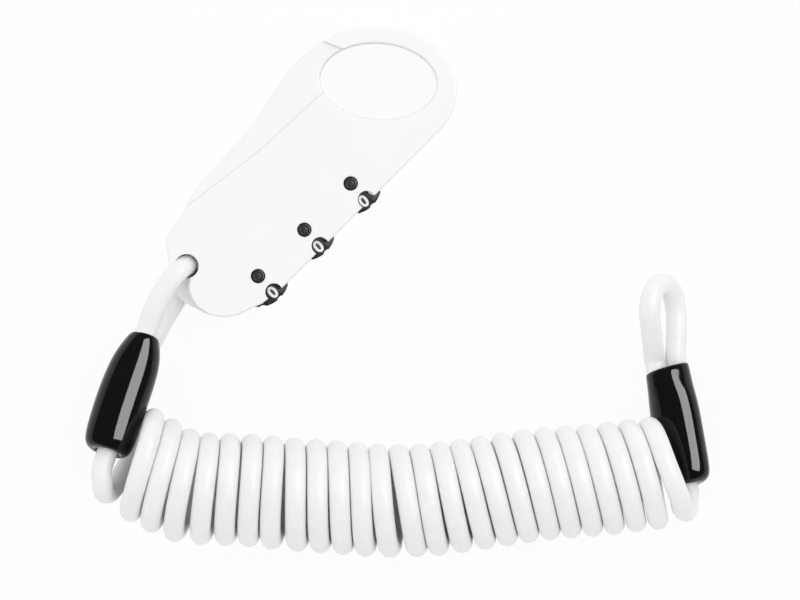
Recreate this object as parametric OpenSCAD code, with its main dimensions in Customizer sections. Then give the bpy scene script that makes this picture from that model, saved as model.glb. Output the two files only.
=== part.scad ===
// Combination cable lock: a snap hook case with three number dials and a coiled cable.
// The lock lies on its back. +Y runs to the hook, +X to the dial edge, +Z out of the front face.

/* [Case] */
// Length of the case from base to hook
case_length = 72.2; // [68:0.2:80]
// Thickness of the case, back face to front face
case_thickness = 14; // [13:0.5:17]
// Distance from the middle line to the straight edge with the dials
dial_edge = 14.3; // [14:0.1:15]
// Rounding of the outer edges
edge_round = 1; // [0.6:0.1:1.1]
// Thickness of the wall over and under the gate and the dials
face_wall = 1.6; // [1.2:0.1:2]

/* [Hook opening] */
// Half of the opening's long axis
opening_long = 11.7; // [11:0.1:12.2]
// Half of the opening's short axis
opening_short = 7.6; // [7:0.1:8]

/* [Gate] */
// How far the gate swings in
gate_swing = 15; // [10:1:15]
// Gap between the gate and the faces that it passes
gate_gap = 0.2; // [0.15:0.05:0.4]
// Radius of the gate's pin
gate_pin_r = 1.25; // [1:0.05:1.5]
// Radius of the boss round the pin
gate_boss_r = 3.2; // [2.8:0.1:3.4]
// Height of the nose above the pin, which sets the bar's stroke
nose_arm = 7.6; // [7:0.1:8]

/* [Dials] */
// Outer radius of a dial
dial_r = 6.4; // [6.1:0.05:6.5]
// Thickness of a dial
dial_t = 4.2; // [3.6:0.1:4.4]
// Distance between dials
dial_pitch = 13.1; // [13.1:0.05:13.4]
// Distance from the dial edge in to the dials' axles
dial_inset = 5.05; // [4.9:0.05:5.3]
// Numbers on a dial, one grip notch to each
dial_numbers = 10; // [10:1:10]
// Depth of a grip notch
notch_depth = 0.45; // [0.3:0.05:0.6]
// Radius of the cutter for a grip notch
notch_r = 1.2; // [1:0.1:1.5]
// Radius of the dial's front journal
journal_r = 1.4; // [1.2:0.05:1.6]
// How far the journal's end lies below the front face
journal_sink = 0.45; // [0.2:0.05:0.8]
// Radius of the number window
window_r = 1.55; // [1.4:0.05:1.7]
// Distance from the axle out to the middle of a number
number_r = 4.5; // [4.3:0.05:4.6]
// Radius of a dial's axle
axle_r = 1.2; // [1:0.05:1.3]

/* [Locking] */
// Radius of a code cam
cam_r = 4; // [3.8:0.1:4.1]
// Depth of the notch in a code cam
cam_notch = 2.4; // [2.2:0.1:2.5]
// Width of a finger on the lock bar
finger_w = 1.8; // [1.4:0.1:2]
// Thickness of the lock bar
bar_t = 2.2; // [1.8:0.1:2.4]
// Width of the lock bar's spine
spine_w = 1.8; // [1.5:0.1:2]
// Wire of a bar spring
spring_wire = 0.4; // [0.3:0.05:0.5]
// Outer diameter of a bar spring
spring_d = 2.1; // [1.9:0.05:2.2]
// Coils in a bar spring
spring_coils = 5; // [4:1:6]
// Thickness of a detent spring's leaf
leaf_t = 0.35; // [0.25:0.05:0.4]

/* [Screws] */
// Radius of a case screw's shank
screw_r = 1; // [0.8:0.05:1.1]
// Radius of a case screw's head
screw_head_r = 1.9; // [1.6:0.1:2]
// Thickness of a case screw's head
screw_head_t = 1.3; // [1:0.1:1.6]

/* [Cable] */
// Outer diameter of the cable
cable_d = 4; // [3.6:0.1:4.1]
// Radius of the eye that the cable passes through
eye_r = 2.6; // [2.4:0.05:2.8]
// Thickness of the web that the loop goes round
web_t = 4.8; // [4:0.1:5]
// Width of the cable's channel from the eye to the base
channel_w = 5.4; // [5.2:0.1:5.8]
// Outer radius of the coil's turns, at the middle of the cable
coil_r = 9.8; // [9.4:0.1:10]
// Distance between the two strands in a ferrule
strand_gap = 4.4; // [4.4:0.05:4.6]
// Wall of a ferrule round a strand
ferrule_wall = 0.3; // [0.2:0.05:0.35]
// Length of a ferrule
ferrule_l = 12; // [9:0.5:14]
// Outer radius of a sleeve
sleeve_r = 5; // [4.95:0.05:5.1]
// Length of a sleeve
sleeve_l = 25; // [22:0.5:27]
// Rounding of a sleeve's ends
sleeve_round = 2; // [1:0.1:2.4]

/* [Fits] */
// Running clearance of a shaft in its bore, on the radius
running = 0.05; // [0.02:0.01:0.1]
// Clearance of a pin that is pressed or glued, on the radius
seated = 0.02; // [0.01:0.01:0.05]
// Clearance round pieces that move inside the case
free_gap = 0.3; // [0.2:0.05:0.4]

/* [Hidden] */
$fn = 48;

// Levels from the back face up
half_length = case_length / 2;
parting_z = case_thickness / 2;
front_inner_z = case_thickness - face_wall;
gate_z = [face_wall + gate_gap, front_inner_z - gate_gap];
dial_z = [front_inner_z - free_gap - dial_t, front_inner_z - free_gap];
dial_mid_z = (dial_z[0] + dial_z[1]) / 2;
bar_z = [parting_z - 0.2 - bar_t, parting_z - 0.2];
cam_z = [face_wall + free_gap, parting_z - 0.5];
cam_floor_z = cam_z[0] - 0.1;

// Dials along the straight edge
dial_x = dial_edge - dial_inset;
dial_mid_y = -8.9;
dial_y = [for (i = [1 : -1 : -1]) dial_mid_y + i * dial_pitch];
hub_r = 2.6;
hub_z = parting_z + 0.2;
axle_top_z = dial_z[0] + 2.5;
axle_foot_z = 0.8;

// Gate pivot and lock bar
pivot = [-6.8, -20];
nose_r = 1;
nose_at = pivot + [2, nose_arm];
bar_stroke = nose_arm * gate_swing * PI / 180;
spine_x = dial_x - cam_r - 0.4 - 2.6 - spine_w;
finger_tip_x = dial_x - cam_r - 0.4;
arm_x = nose_at[0] + nose_r + 0.1;
arm_w = 3;
spring_y = [for (i = [0, 1]) (dial_y[i] + dial_y[i + 1]) / 2];
spring_x = [spine_x + spine_w + 0.05, dial_x - 1.1];
bar_y = [dial_y[2] - finger_w / 2 - 0.6, dial_y[0] + finger_w / 2 + 0.4];

// Case screws, clear of the gate, the dials and the eye
screw_at = [[6.5, 13], [6.2, -30.6], [-3, -25]];
screw_sink = 0.2;
screw_tip_z = front_inner_z - 1.4;

// Detent springs, turned about each dial's axle to the notch beside the lock bar
detent_turn = 36;
leaf_l = 6;
leaf_h = dial_t - 1.2;
leaf_out = dial_r + free_gap + leaf_t / 2;
bump_r = 0.6;

// The eye, and the frame that the cable lies in: u and v on the table, from the eye
eye = [-2.2, -half_length + 5.6];
lay_turn = 45;
strand_turn = -120;
loop_r = web_t / 2 + 0.3 + cable_d / 2;
bore_r = cable_d / 2 + running;

// Case outline: corners as [x, y, fillet radius], counter-clockwise
opening_at = [-1.3, half_length - 13.5];
opening_tilt = 41;
nose_angle = 130;
seam_angle = -157.5;
opening_steps = 26;
hook_back_r = 20.5;
hook_at = [5.1, half_length - hook_back_r];
function turned(p, a) = [p[0] * cos(a) - p[1] * sin(a), p[0] * sin(a) + p[1] * cos(a)];
function opening_point(a) =
    opening_at + turned([opening_long * cos(a), opening_short * sin(a)], opening_tilt);
function opening_run(from, to, steps) =
    [for (i = [0 : steps]) let (p = opening_point(from + (to - from) * i / steps)) [p[0], p[1], 0]];
// The shoulder is one arc from the dial edge to the start of the hook's back, touching both
hook_lean = 14;
hook_start = hook_at + hook_back_r * [cos(90 + hook_lean), sin(90 + hook_lean)];
shoulder = dial_edge - hook_start[0];
shoulder_r = 0.99 * shoulder / cos(hook_lean) / tan(45 + hook_lean / 2);
hook_corners = concat([[dial_edge, hook_start[1] + shoulder * tan(hook_lean), shoulder_r]],
    [for (i = [0 : 8]) let (a = 90 + hook_lean + (79 - hook_lean) * i / 8)
        [hook_at[0] + hook_back_r * cos(a), hook_at[1] + hook_back_r * sin(a), 0]]);
base_corners = [[-8.2, -4, 40], [-10.6, -22, 6], [-9.2, -half_length + 6.3, 3], [0.4, -half_length - 0.8, 6],
                [8, -half_length + 1.15, 7], [dial_edge - 1.9, -half_length + 5.8, 7], [dial_edge, -20, 14]];
case_corners = concat(hook_corners, opening_run(nose_angle, seam_angle, opening_steps), base_corners);

// Gate outline, from the pin up the inner edge to the tip and down the outer edge
gate_round = 0.9;
gate_corners = concat(
    [[-7.4, -23, 1.5], [-4.6, -20, 1.5], [-5.6, -13.5, 3], [-6.4, 11.4, 0.6]],
    opening_run(seam_angle, nose_angle - 360 + 3, 6),
    [[-15.15, half_length - 17.15, 0.8], [-15.6, half_length - 21.5, 6], [-15.2, 9.6, 10],
     [-12.75, -2, 25], [-12.05, -18, 6], [-11.1, -21.88, 1.2]]);

// Room that the gate sweeps inside the case
sweep_corners = [[-18, -22.6], [-9, -22.6], [-6.8, -22], [-4.5, -20], [-3.4, -14],
                 [2.6, 9.8], [2.8, 18], [-18, 18]];

// Unit vector, and the inward normal of the edge from a to b
function unit(v) = v / norm(v);
function inward(a, b) = let (e = unit([b[0] - a[0], b[1] - a[1]])) [-e[1], e[0]];
function at(list, i) = list[(i + len(list)) % len(list)];

// Corners moved in by d, with their fillets changed to match and a step count for each fillet
function inset(corners, d) =
    [for (i = [0 : len(corners) - 1])
        let (c = corners[i], n = inward(at(corners, i - 1), c), m = inward(c, at(corners, i + 1)),
             left = n[0] * m[1] - n[1] * m[0] >= 0,
             p = [c[0], c[1]] + d * (n + m) / (1 + n * m))
        [p[0], p[1], c[2] == 0 ? 0 : max(0.05, left ? c[2] - d : c[2] + d), c[2] > 8 ? 8 : 4]];

// Points on the fillet at one corner
function fillet(a, c, b, steps) =
    let (n = inward(a, c), m = inward(c, b), e = [n[1], -n[0]],
         turn = atan2(n[0] * m[1] - n[1] * m[0], n * m), reach = c[2] * tan(abs(turn) / 2),
         start = [c[0], c[1]] - reach * e, middle = start + sign(turn) * c[2] * n)
    [for (k = [0 : steps]) middle + turned(start - middle, turn * k / steps)];
function outline(corners) =
    [for (i = [0 : len(corners) - 1])
        each (corners[i][2] == 0 ? [[corners[i][0], corners[i][1]]]
              : fillet(at(corners, i - 1), corners[i], at(corners, i + 1), corners[i][3]))];

// Skin of rings of equal point counts, closed at both ends
module skin(rings) {
    n = len(rings[0]);
    last = len(rings) - 1;
    sides = [for (i = [0 : last - 1], j = [0 : n - 1])
        let (a = i * n + j, b = i * n + (j + 1) % n)
        each [[a, a + n, b + n], [a, b + n, b]]];
    ends = [[for (j = [0 : n - 1]) j], [for (j = [n - 1 : -1 : 0]) last * n + j]];
    polyhedron([for (r = rings) each r], concat(sides, ends));
}

// Slab with one face's edge taken back in small steps, up from the parting plane
edge_steps = [[0, 1], [0.08, 0.6], [0.3, 0.25], [0.62, 0]];
module stepped_slab(corners, depth, round) {
    for (i = [0 : 3])
        translate([0, 0, i == 0 ? 0 : depth - 1.2 * round])
            linear_extrude(depth - edge_steps[i][1] * round - (i == 0 ? 0 : depth - 1.2 * round))
                polygon(outline(inset(corners, edge_steps[i][0] * round)));
}

function around(mid, half) = [mid - half, mid + half];
module post(at, r, low, high) translate([at[0], at[1], low]) cylinder(r = r, h = high - low);
module block(x, y, z) translate([x[0], y[0], z[0]]) cube([x[1] - x[0], y[1] - y[0], z[1] - z[0]]);

// Cuts that both shells share
module shared_cuts() {
    translate([0, 0, face_wall])
        linear_extrude(front_inner_z - face_wall) polygon(sweep_corners);
    post(pivot, gate_boss_r + free_gap, face_wall, front_inner_z);
    post(pivot, gate_pin_r + seated, axle_foot_z, case_thickness - axle_foot_z);
    post(eye, eye_r, -1, case_thickness + 1);
    for (p = screw_at) post(p, screw_r + running, -1, screw_tip_z + 0.3);
}

// Channel from the eye to the base, cut down to the web
module cable_channel(low, high) {
    translate([eye[0], eye[1], low]) rotate([0, 0, strand_turn + lay_turn])
        translate([0, -channel_w / 2, 0]) cube([20, channel_w, high - low]);
}

module front_shell() color("white") difference() {
    translate([0, 0, parting_z]) stepped_slab(case_corners, case_thickness - parting_z, edge_round);
    shared_cuts();
    cable_channel(parting_z + web_t / 2, case_thickness + 1);
    for (y = dial_y) {
        post([dial_x, y], dial_r + free_gap, parting_z - 1, front_inner_z);
        post([dial_x, y], journal_r + running, front_inner_z - 1, case_thickness + 1);
        post([dial_x + number_r, y], window_r, front_inner_z - 1, case_thickness + 1);
        at_detent(y) {
            block(around(leaf_out, leaf_t), around(0, leaf_l / 2 + 0.1), around(dial_mid_z, leaf_h / 2 + 0.1));
            block(around(leaf_out, bump_r + running), around(0, bump_r + 0.1),
                  around(dial_mid_z, leaf_h / 2 + 0.1));
        }
    }
}

module rear_shell() color("white") difference() {
    translate([0, 0, parting_z]) mirror([0, 0, 1]) stepped_slab(case_corners, parting_z, edge_round);
    shared_cuts();
    cable_channel(-1, parting_z - web_t / 2);
    for (p = screw_at) post(p, screw_head_r + running, -1, screw_sink + screw_head_t);
    for (y = dial_y) {
        post([dial_x, y], cam_r + free_gap, cam_floor_z, parting_z + 1);
        post([dial_x, y], axle_r + seated, axle_foot_z, cam_floor_z + 1);
        block([spine_x, dial_x - cam_r], around(y, finger_w / 2 + free_gap), [bar_z[0] - 0.1, parting_z + 1]);
    }
    block([spine_x - free_gap, spine_x + spine_w + bar_stroke + free_gap],
          [bar_y[0] - free_gap, bar_y[1] + free_gap], [bar_z[0] - 0.1, parting_z + 1]);
    block([nose_at[0] - 1, spine_x], around(nose_at[1] - 0.6, arm_w / 2 + free_gap + 0.6),
          [bar_z[0] - 0.1, parting_z + 1]);
    for (y = spring_y)
        block([spine_x, spring_x[1] + 0.05], around(y, spring_d / 2 + free_gap), [bar_z[0] - 0.1, parting_z + 1]);
}

module gate() color("white") difference() {
    union() {
        translate([0, 0, parting_z]) for (side = [0, 1])
            mirror([0, 0, side]) stepped_slab(gate_corners, gate_z[1] - parting_z, gate_round);
        post(pivot, gate_boss_r, gate_z[0], gate_z[1]);
        post(nose_at, nose_r, bar_z[0], bar_z[1]);
    }
    post(pivot, gate_pin_r + running, 0, case_thickness);
}

module gate_pin() color("silver") post(pivot, gate_pin_r, axle_foot_z + 0.1, case_thickness - axle_foot_z - 0.1);

module lock_bar() color("silver") {
    block([spine_x, spine_x + spine_w], bar_y, bar_z);
    block([arm_x, spine_x + 0.1], around(nose_at[1], arm_w / 2), bar_z);
    for (y = dial_y) block([spine_x + spine_w - 0.1, finger_tip_x], around(y, finger_w / 2), bar_z);
}

// Tube along points, with sides corners and a reference direction for each ring's first corner
function ahead(p, i) = unit(p[min(i + 1, len(p) - 1)] - p[max(i - 1, 0)]);
function tube_rings(p, refs, r, sides) =
    [for (i = [0 : len(p) - 1])
        let (t = ahead(p, i), n = unit(refs[i] - t * (t * refs[i])), b = cross(t, n))
        [for (k = [0 : sides - 1]) p[i] + r * (cos(360 * k / sides) * n + sin(360 * k / sides) * b)]];
function same(v, n) = [for (i = [1 : n]) v];

module bar_spring(y) color("silver") {
    turn_r = (spring_d - spring_wire) / 2;
    run = spring_x[1] - spring_x[0] - spring_wire;
    steps = 8 * spring_coils;
    angles = [for (i = [0 : steps]) 360 * i / 8];
    line = [for (i = [0 : steps])
        [spring_x[0] + spring_wire / 2 + run * i / steps, y + turn_r * cos(angles[i]),
         (bar_z[0] + bar_z[1]) / 2 + turn_r * sin(angles[i])]];
    refs = [for (a = angles) [0, cos(a), sin(a)]];
    skin(tube_rings(line, refs, spring_wire / 2, 6));
}
module bar_spring_1() bar_spring(spring_y[0]);
module bar_spring_2() bar_spring(spring_y[1]);

module dial(y) color("black") translate([dial_x, y, 0]) difference() {
    union() {
        difference() {
            post([0, 0], dial_r, dial_z[0], dial_z[1]);
            for (i = [0 : dial_numbers - 1]) rotate([0, 0, 360 * i / dial_numbers])
                post([dial_r - notch_depth + notch_r, 0], notch_r, dial_z[0] - 1, dial_z[1] + 1);
        }
        post([0, 0], journal_r, dial_z[0], case_thickness - journal_sink);
        post([0, 0], hub_r, hub_z, dial_z[1]);
    }
    post([0, 0], axle_r + running, hub_z - 1, axle_top_z + 0.1);
}
module dial_1() dial(dial_y[0]);
module dial_2() dial(dial_y[1]);
module dial_3() dial(dial_y[2]);

// Cam with its notch facing the lock bar
module code_cam(y) color("goldenrod") translate([dial_x, y, 0]) difference() {
    post([0, 0], cam_r, cam_z[0], cam_z[1]);
    post([0, 0], axle_r + running, 0, case_thickness);
    block([-cam_r - 1, -cam_r + cam_notch], around(0, finger_w / 2 + free_gap), [0, case_thickness]);
}
module code_cam_1() code_cam(dial_y[0]);
module code_cam_2() code_cam(dial_y[1]);
module code_cam_3() code_cam(dial_y[2]);

module dial_axle(y) color("silver") post([dial_x, y], axle_r, axle_foot_z + 0.1, axle_top_z);
module dial_axle_1() dial_axle(dial_y[0]);
module dial_axle_2() dial_axle(dial_y[1]);
module dial_axle_3() dial_axle(dial_y[2]);

// Leaf beside the dial, with a bump in one grip notch
module at_detent(y) translate([dial_x, y, 0]) rotate([0, 0, 180 + detent_turn]) children();
module detent_spring(y) color("silver") at_detent(y) {
    block(around(leaf_out, leaf_t / 2), around(0, leaf_l / 2), [dial_z[0] + 0.6, dial_z[0] + 0.6 + leaf_h]);
    post([leaf_out, 0], bump_r, dial_z[0] + 0.6, dial_z[0] + 0.6 + leaf_h);
}
module detent_spring_1() detent_spring(dial_y[0]);
module detent_spring_2() detent_spring(dial_y[1]);
module detent_spring_3() detent_spring(dial_y[2]);

module case_screws() color("silver") for (p = screw_at) difference() {
    union() {
        post(p, screw_head_r, screw_sink, screw_sink + screw_head_t);
        post(p, screw_r, screw_sink, screw_tip_z);
    }
    for (a = [0, 90]) translate([p[0], p[1], screw_sink]) rotate([0, 0, a]) cube([2.2, 0.5, 1], center = true);
}

// The table that the cable lies on, turned to the way it runs in use
module on_table() translate([eye[0], eye[1], 0]) rotate([0, 0, lay_turn]) children();

// Sleeves: mouth [u, v, z], heading of the way in, rise, and turn of the pair of strands
lock_end = [[-9.2, -14.2, 9.4], -106.5, 15, 202];
free_end = [[96.4, -19.9, 5.2], -76.6, 8, 75];
function spun(p, a) = [p[0] * cos(a) - p[1] * sin(a), p[0] * sin(a) + p[1] * cos(a), p[2]];
function tipped(p, a) = [p[0] * cos(a) + p[2] * sin(a), p[1], p[2] * cos(a) - p[0] * sin(a)];
function in_sleeve(e, p) = e[0] + spun(tipped(spun(p, e[3]), 90 - e[2]), e[1]);
module at_sleeve(e) on_table() translate(e[0]) rotate([0, 90 - e[2], e[1]]) rotate([0, 0, e[3]]) children();
ferrule_z = [5, 5 + ferrule_l];
tail_z = ferrule_z[1] + 0.8;
neck_z = sleeve_l - 2;

// Crimped figure of eight round the two strands
module ferrule(e) color("silver") at_sleeve(e) difference() {
    for (x = [-1, 1]) post([x * strand_gap / 2, 0], bore_r + ferrule_wall, ferrule_z[0], ferrule_z[1]);
    for (x = [-1, 1]) post([x * strand_gap / 2, 0], bore_r, 0, sleeve_l);
}
module lock_end_ferrule() ferrule(lock_end);
module free_end_ferrule() ferrule(free_end);

module sleeve(e) color("black") at_sleeve(e) difference() {
    arc = [for (a = [0 : 15 : 90]) sleeve_round * [cos(a), sin(a)]];
    rotate_extrude() polygon(concat(
        [[0, 0]], [for (i = [6 : -1 : 0]) [sleeve_r - sleeve_round + arc[i][0], sleeve_round - arc[i][1]]],
        [for (p = arc) [sleeve_r - sleeve_round + p[0], sleeve_l - sleeve_round + p[1]]], [[0, sleeve_l]]));
    for (x = [-1, 1]) {
        post([x * strand_gap / 2, 0], bore_r, -1, ferrule_z[1]);
        post([x * strand_gap / 2, 0], bore_r + ferrule_wall + seated, ferrule_z[0] - seated, ferrule_z[1]);
    }
    post([0, 0], strand_gap / 2 + bore_r + 0.2, ferrule_z[1] - seated, neck_z);
    post([0, 0], bore_r, neck_z - 1, sleeve_l + 1);
}
module lock_end_sleeve() sleeve(lock_end);
module free_end_sleeve() sleeve(free_end);

// Smooth run through points, each span in equal steps
function smooth(p, steps) =
    [for (i = [0 : len(p) - 2], k = [0 : i == len(p) - 2 ? steps : steps - 1])
        let (t = k / steps, a = p[max(i - 1, 0)], b = p[i], c = p[i + 1], d = p[min(i + 2, len(p) - 1)])
        0.5 * (2 * b + (c - a) * t + (2 * a - 5 * b + 4 * c - d) * t * t + (3 * b - a - 3 * c + d) * t * t * t)];

// Strand ends inside a sleeve: the tail stops past the ferrule, the main strand runs out through the neck
function tail_end(e) = [for (z = [tail_z, 9, 0, -2]) in_sleeve(e, [-strand_gap / 2, 0, z])];
function main_end(e) =
    concat([for (z = [-2, 0, 9, ferrule_z[1]]) in_sleeve(e, [strand_gap / 2, 0, z])],
           [in_sleeve(e, [strand_gap / 4, 0, (ferrule_z[1] + neck_z) / 2])],
           [for (z = [neck_z, sleeve_l]) in_sleeve(e, [0, 0, z])]);

// Loop through the eye, s along the strands and z up, round the web
function beside_eye(s, across, z) = spun([s, across, z], strand_turn);
loop_bend = [for (a = [-90 : 30 : 90])
    beside_eye(loop_r * (1 - cos(a)), 0, parting_z + loop_r * sin(a))];
lock_route = concat(tail_end(lock_end), [beside_eye(9, 0.4, parting_z - loop_r + 1.9)], loop_bend,
                    [beside_eye(9, -1.8, parting_z + loop_r - 0.3)], main_end(lock_end));
module cable_lock_loop() color("white") on_table() {
    line = smooth(lock_route, 2);
    skin(tube_rings(line, same(beside_eye(0, 1, 0), len(line)), cable_d / 2, 8));
}

// Loop at the free end, left open to take the hook
free_loop = [[93.2, -13.6, 8], [93, -9.5, 10.5], [93.8, -5.8, 11.2], [95.5, -4.2, 8.6], [97.4, -5.6, 5.2],
             [98.5, -9.5, 3.2], [98.5, -13.6, 3.6]];
free_route = concat(tail_end(free_end), free_loop, main_end(free_end));
module cable_free_loop() color("white") on_table() {
    line = smooth(free_route, 2);
    skin(tube_rings(line, same(unit([0.85, 0.2, 0.5]), len(line)), cable_d / 2, 8));
}

// Coil: its axis [turn, u], [turn, v], lean of the turns, radius, height and tilt, by turn
coil_turns = [0.02, 25.2];
coil_u = [[0, -17.3], [0.5, -12.85], [0.75, -10.45], [1, -8.55], [2, -5.1], [3, -0.95], [4, 3.8], [6, 12.8],
          [8, 21.8], [10, 30.6], [12, 39.4], [14, 48.3], [16, 57.2], [19, 69.9], [22, 82.9],
          [25, 96], [25.5, 101]];
coil_v = [[0, -41.8], [1, -39.6], [2, -41.9], [3, -44], [4, -44.7], [6, -44.9], [8, -45.8], [10, -46.4],
          [12, -47.1],
          [14, -46.9], [16, -45.8], [19, -43.7], [22, -42.4], [25, -40.7], [25.5, -40.5]];
coil_lean = [[0, 20], [1, 19], [2, 17], [3, 13.5], [4, 10], [6, 7], [8, 4], [10, 1], [12, -1],
             [15, -5.6], [17, -7.8],
             [20, -8], [24, -9], [25.5, -12]];
coil_swell = [[0, -5], [0.5, -3.2], [1, 0]];
coil_lift = [[0, 1.2], [1, 0]];
coil_tilt = [[0, 0], [13, 0], [24.6, 0.7], [25.5, 0.7]];
coil_tail = [[100, -48.8, 15.6], [101.6, -49.2, 11.6]];
coil_start_angle = 75;
function coil_radial(t) =
    let (a = coil_start_angle + 360 * t, l = lookup(t, coil_lean))
    [cos(a) * sin(l), cos(a) * cos(l), sin(a)];
function coil_axis(t) =
    [lookup(t, coil_u), lookup(t, coil_v), coil_r + cable_d / 2 + lookup(t, coil_lift)];
function coil_lag(t) = lookup(t, coil_tilt) * [sin(coil_start_angle + 360 * t) - 1, 0, 0];
function coil_point(t) = coil_axis(t) + (coil_r + lookup(t, coil_swell)) * coil_radial(t) + coil_lag(t);
coil_steps = [for (t = [coil_turns[0] : 1 / 8 : coil_turns[1]]) t];
function lead_end(e, zs) = [for (z = zs) in_sleeve(e, [0, 0, z])];
coil_line = concat(lead_end(lock_end, [sleeve_l, sleeve_l + cable_d]), [for (t = coil_steps) coil_point(t)],
                   coil_tail, lead_end(free_end, [sleeve_l + cable_d, sleeve_l]));
coil_refs = concat(same(coil_radial(coil_turns[0]), 2), [for (t = coil_steps) coil_radial(t)],
                   [for (i = [1 : 4]) coil_radial(coil_turns[1] + i / 12)]);

// Least gap between rings a turn apart, measured corner to corner
coil_rings = tube_rings(coil_line, coil_refs, cable_d / 2, 6);
coil_gap = min([for (i = [0 : len(coil_rings) - 7], j = [i + 6 : min(i + 10, len(coil_rings) - 1)],
                     a = coil_rings[i], b = coil_rings[j]) norm(a - b)]);
echo(least_gap_in_coil = coil_gap);
module cable_coil() color("white") on_table() skin(coil_rings);

front_shell();
rear_shell();
gate();
gate_pin();
lock_bar();
bar_spring_1();
bar_spring_2();
dial_1();
dial_2();
dial_3();
code_cam_1();
code_cam_2();
code_cam_3();
dial_axle_1();
dial_axle_2();
dial_axle_3();
detent_spring_1();
detent_spring_2();
detent_spring_3();
case_screws();
lock_end_ferrule();
lock_end_sleeve();
free_end_ferrule();
free_end_sleeve();
cable_lock_loop();
cable_coil();
cable_free_loop();
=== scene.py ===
"""Cable lock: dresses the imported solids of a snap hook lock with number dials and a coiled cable.

Lengths in the tables below are millimetres in the frame of the part: +Y to the hook, +X to the edge
with the dials, +Z out of the front face. The cable's own tables use the table frame: u and v from the eye.
"""
import math

import bmesh
import bpy
from mathutils import Matrix, Vector


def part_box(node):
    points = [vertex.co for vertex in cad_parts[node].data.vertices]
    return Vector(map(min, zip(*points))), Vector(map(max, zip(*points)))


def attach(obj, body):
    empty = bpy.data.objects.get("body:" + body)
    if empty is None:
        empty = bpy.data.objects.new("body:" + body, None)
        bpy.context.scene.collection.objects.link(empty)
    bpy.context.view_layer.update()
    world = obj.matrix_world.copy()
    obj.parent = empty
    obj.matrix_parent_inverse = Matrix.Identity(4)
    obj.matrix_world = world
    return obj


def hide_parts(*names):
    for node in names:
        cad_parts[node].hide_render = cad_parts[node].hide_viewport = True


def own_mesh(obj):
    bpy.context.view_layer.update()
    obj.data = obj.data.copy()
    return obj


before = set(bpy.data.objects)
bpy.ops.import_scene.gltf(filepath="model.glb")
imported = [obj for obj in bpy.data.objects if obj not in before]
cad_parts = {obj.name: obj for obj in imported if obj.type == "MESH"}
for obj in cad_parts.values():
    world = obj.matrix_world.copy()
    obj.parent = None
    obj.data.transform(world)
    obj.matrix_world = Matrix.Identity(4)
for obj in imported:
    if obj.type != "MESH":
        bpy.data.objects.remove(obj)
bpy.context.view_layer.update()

bl_info = {
    "name": "Cable lock",
    "version": (1, 0, 0),
    "blender": (4, 5, 0),
    "location": "View3D > Sidebar > Cable lock",
    "description": "Models the case, gate, dials, sleeves and coiled cable of a small snap hook lock",
    "category": "Object",
}

MM = 0.001

# The case: its faces, its straight edge with the dials, and the hook's back
CASE_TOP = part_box("front_shell")[1].z / MM
PARTING = CASE_TOP / 2
HALF_LENGTH = 36.1
DIAL_EDGE = 14.3
FACE_WALL = 1.6
FRONT_INNER = CASE_TOP - FACE_WALL
HOOK_R = 20.5
HOOK_AT = (5.1, HALF_LENGTH - HOOK_R)

# The oval opening of the hook, and the angles on the hook's back and on the opening where gate and hook meet
OPENING_AT = (-1.3, 22.6)
OPENING_R = (11.7, 7.6)
OPENING_TURN = 41
FOOT_ANGLE = -157.5
HOOK_CUT = (166.3, 128.9)

# The gate, its boss on the pin, and the nose that moves the bar
GATE_Z = (0.8, CASE_TOP - 0.8)
GATE_SLOT = (GATE_Z[0] - 0.1, GATE_Z[1] + 0.1)
PIVOT = (-6.8, -20.0)
BOSS_R = 3.2
GATE_HOLE = 1.3
NOSE = (-4.8, -12.4)
NOSE_R = 1.0
BAR_Z = (4.6, 6.8)

# The eye, how the strands leave it, and how the part lies in the picture
EYE = (-2.2, -30.5)
WEB = 4.8
STRAND_TURN = -120.0
LAY_TURN = 45.0
CABLE_R = 2.1
SLEEVE = 25.0

DIAL_X = 9.25
DIAL_Y = (4.2, -8.9, -22.0)
DIAL_Z = (7.9, 12.1)
NUMBER_R = 4.5
SCREWS = ((6.5, 13.0), (6.2, -30.6), (-3.0, -25.0))


# ---------------------------------------------------------------- settings

def length(name, description, default):
    return bpy.props.FloatProperty(name=name, description=description, default=default, unit="LENGTH",
                                   min=0.0, precision=5)


def colour(name, description, default):
    return bpy.props.FloatVectorProperty(name=name, description=description, default=default, subtype="COLOR",
                                         size=3, min=0.0, max=1.0)


class CaseSettings(bpy.types.PropertyGroup):
    """Edges and colour of the two shells and the gate."""
    edge: length("Outer edge", "Rounding of the outer edges of the shells, seen from the front", 0.4 * MM)
    drop: length("Edge drop", "Height over which the outer edges are rounded", 0.5 * MM)
    gate_edge: length("Gate edge", "Rounding of the gate's edges", 0.45 * MM)
    seam: length("Parting seam", "Depth of the fine groove where the shells meet", 0.1 * MM)
    chamfer: length("Hole chamfer", "Small chamfer round the windows and bores", 0.16 * MM)
    white: colour("Case white", "Moulded plastic of the shells and the gate", (0.93, 0.93, 0.927))


class DialSettings(bpy.types.PropertyGroup):
    """Dials and the numbers on them."""
    radius: length("Dial radius", "Outer radius of a dial", 6.2 * MM)
    bevel: length("Dial edge", "Bevel on the rim of a dial", 0.3 * MM)
    number_height: length("Number height", "Height of a number, along the dial's radius", 2.5 * MM)
    number_width: length("Number width", "Width of a zero", 1.72 * MM)
    black: colour("Dial black", "Plastic of the dials", (0.014, 0.014, 0.015))
    paint: colour("Number paint", "Paint of the numbers", (0.93, 0.93, 0.92))


class CableSettings(bpy.types.PropertyGroup):
    """The cable and the sleeves over its crimps."""
    diameter: length("Cable diameter", "Outer diameter of the jacket", 2 * CABLE_R * MM)
    white: colour("Cable white", "Jacket of the cable", (0.93, 0.93, 0.926))
    sleeve_length: length("Sleeve length", "Length of a sleeve, mouth to neck", SLEEVE * MM)
    sleeve_black: colour("Sleeve black", "Glossy sleeve", (0.004, 0.004, 0.0045))


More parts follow.
